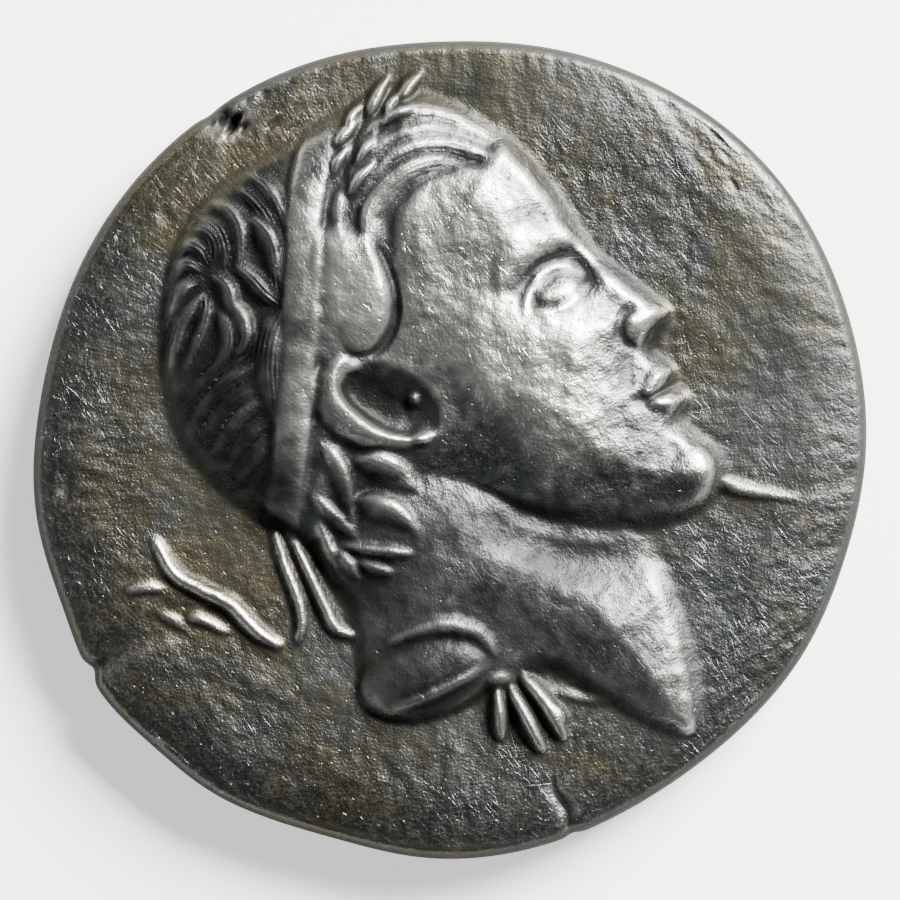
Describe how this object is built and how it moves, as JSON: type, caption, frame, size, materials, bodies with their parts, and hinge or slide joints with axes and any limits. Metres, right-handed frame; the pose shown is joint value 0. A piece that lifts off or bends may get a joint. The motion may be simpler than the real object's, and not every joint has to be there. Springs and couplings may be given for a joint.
{
  "type": "silver drachm coin",
  "caption": "Worn ancient silver coin with an uneven struck edge, a ribboned head in high relief on top and a standing figure below.",
  "frame": {"origin": "on the surface the coin lies on, under the middle of its box", "axes": "+Z out of the head side, +Y up the picture of the head, +X to its right, the way the head faces"},
  "size_m": [0.017, 0.0166, 0.0027],
  "materials": {
    "silver": "worn silver with dark toning in the hollows"
  },
  "bodies": {
    "root": {"drachm": "silver"}
  },
  "joints": []
}
